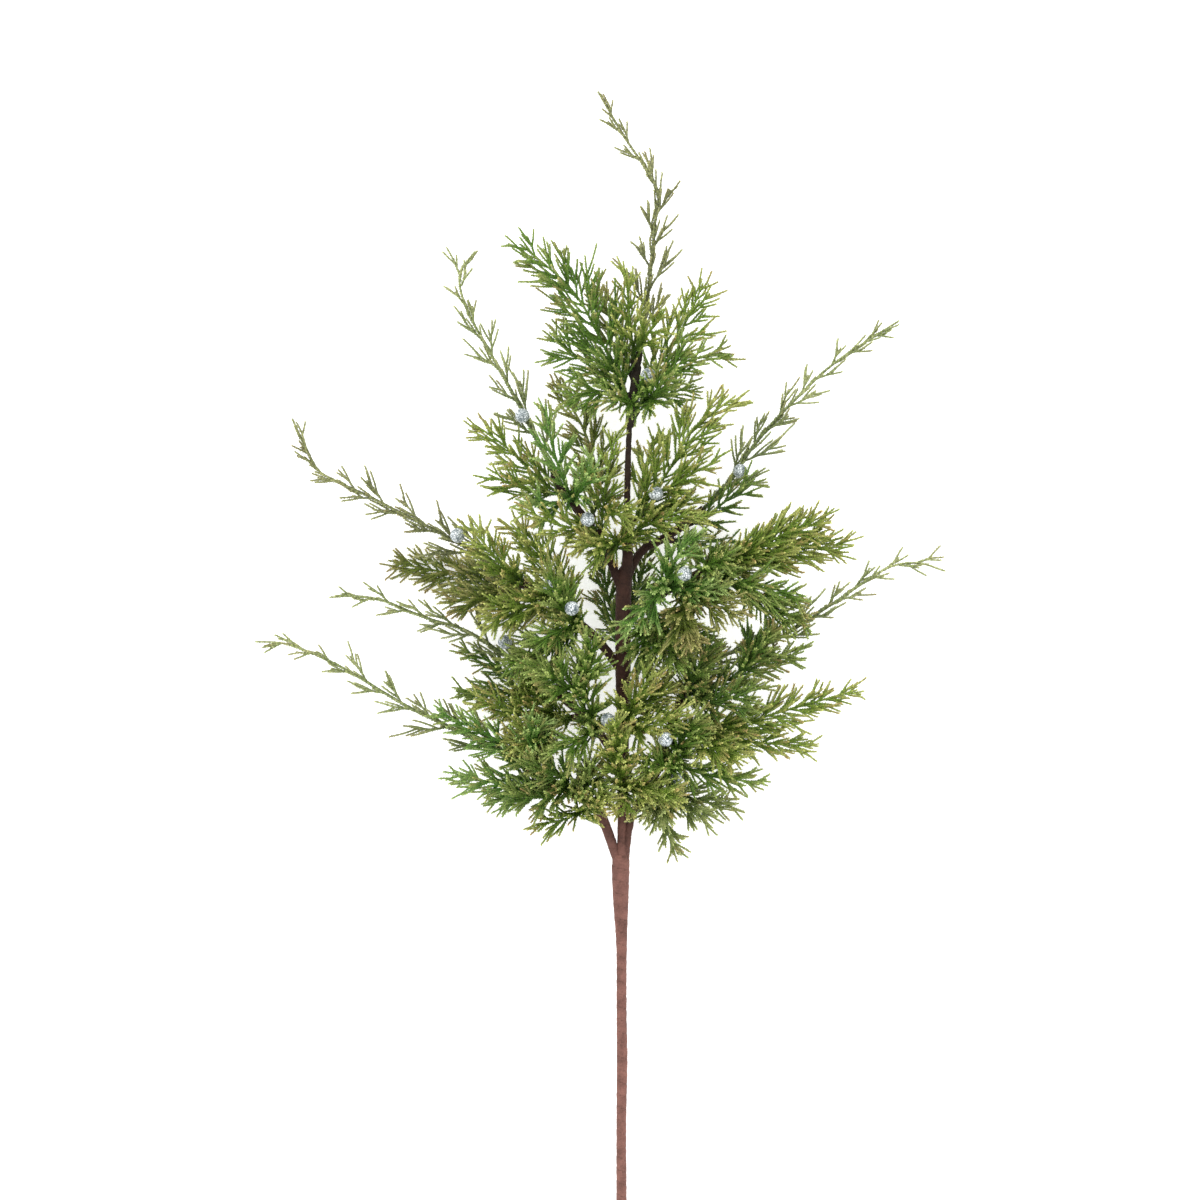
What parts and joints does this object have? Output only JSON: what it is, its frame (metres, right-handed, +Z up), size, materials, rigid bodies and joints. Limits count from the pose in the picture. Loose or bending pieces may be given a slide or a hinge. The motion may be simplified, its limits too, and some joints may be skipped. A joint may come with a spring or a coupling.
{
  "type": "artificial juniper berry spray",
  "caption": "Artificial juniper spray: a paper-taped wire stem with side branches, moulded scale-leaf fans and leaders, and frosted blue berries, lying flat.",
  "frame": {"origin": "middle of the bounding box on the surface the spray lies on", "axes": "+Y along the stem from the cut end to the top, +X across to the right as seen from above, +Z up from the surface"},
  "size_m": [0.4492, 0.7363, 0.1045],
  "materials": {
    "stem_tape": "crinkled brown paper tape, pinkish on the lower stem and dark on the upper",
    "core_wire": "bright drawn wire",
    "berry_frost": "slate blue with pale crackled frost",
    "foliage_leader": "satin, pale grey-green with yellow-green tips",
    "foliage_green": "satin mid green with olive tips",
    "foliage_dark": "satin dark green",
    "foliage_olive": "satin olive with yellow tips",
    "foliage_brown": "satin olive with brown tips",
    "foliage_blue": "satin bluish green"
  },
  "bodies": {
    "root": {"stem_taped": "stem_tape", "stem_wire": "core_wire", "berry_01": "berry_frost", "berry_02": "berry_frost", "berry_03": "berry_frost", "berry_04": "berry_frost", "berry_05": "berry_frost", "berry_06": "berry_frost", "berry_07": "berry_frost", "berry_08": "berry_frost", "berry_09": "berry_frost", "berry_10": "berry_frost", "berry_11": "berry_frost", "berry_12": "berry_frost", "berry_13": "berry_frost", "berry_14": "berry_frost", "leader_top": "foliage_leader", "fan_top_left": "foliage_green", "fan_top_back": "foliage_brown", "fan_top_front": "foliage_olive", "fan_top_right": "foliage_olive", "fan_top_side": "foliage_green", "leader_upper_left": "foliage_leader", "fan_upper_left_outer": "foliage_olive", "fan_upper_left_front": "foliage_blue", "fan_upper_left_back": "foliage_brown", "fan_upper_left_rise": "foliage_olive", "fan_upper_left_cross": "foliage_olive", "leader_upper_right": "foliage_leader", "fan_upper_right_light": "foliage_olive", "fan_upper_right_dark": "foliage_dark", "fan_upper_right_low": "foliage_dark", "fan_mid_right_outer": "foliage_olive", "fan_mid_right_lower": "foliage_green", "fan_mid_right_front": "foliage_blue", "fan_mid_right_brown": "foliage_brown", "fan_mid_right_under": "foliage_green", "leader_mid_left": "foliage_leader", "fan_mid_left_tuft": "foliage_olive", "fan_mid_left_thin": "foliage_brown", "fan_mid_left_rise": "foliage_olive", "fan_mid_left_front": "foliage_green", "leader_low_mid_left": "foliage_leader", "fan_centre_left_dark": "foliage_dark", "fan_centre_left_olive": "foliage_olive", "fan_centre_front": "foliage_green", "fan_centre_olive": "foliage_olive", "fan_centre_low": "foliage_olive", "fan_centre_back": "foliage_dark", "leader_low_mid_right": "foliage_leader", "fan_low_right_inner": "foliage_dark", "fan_low_right_outer": "foliage_olive", "fan_low_right_side": "foliage_green", "fan_low_right_hanging": "foliage_brown", "leader_low_left": "foliage_leader", "fan_low_left_outer": "foliage_blue", "fan_low_left_lower": "foliage_olive", "fan_low_left_upper": "foliage_blue", "fan_low_left_inner": "foliage_dark"}
  },
  "joints": []
}
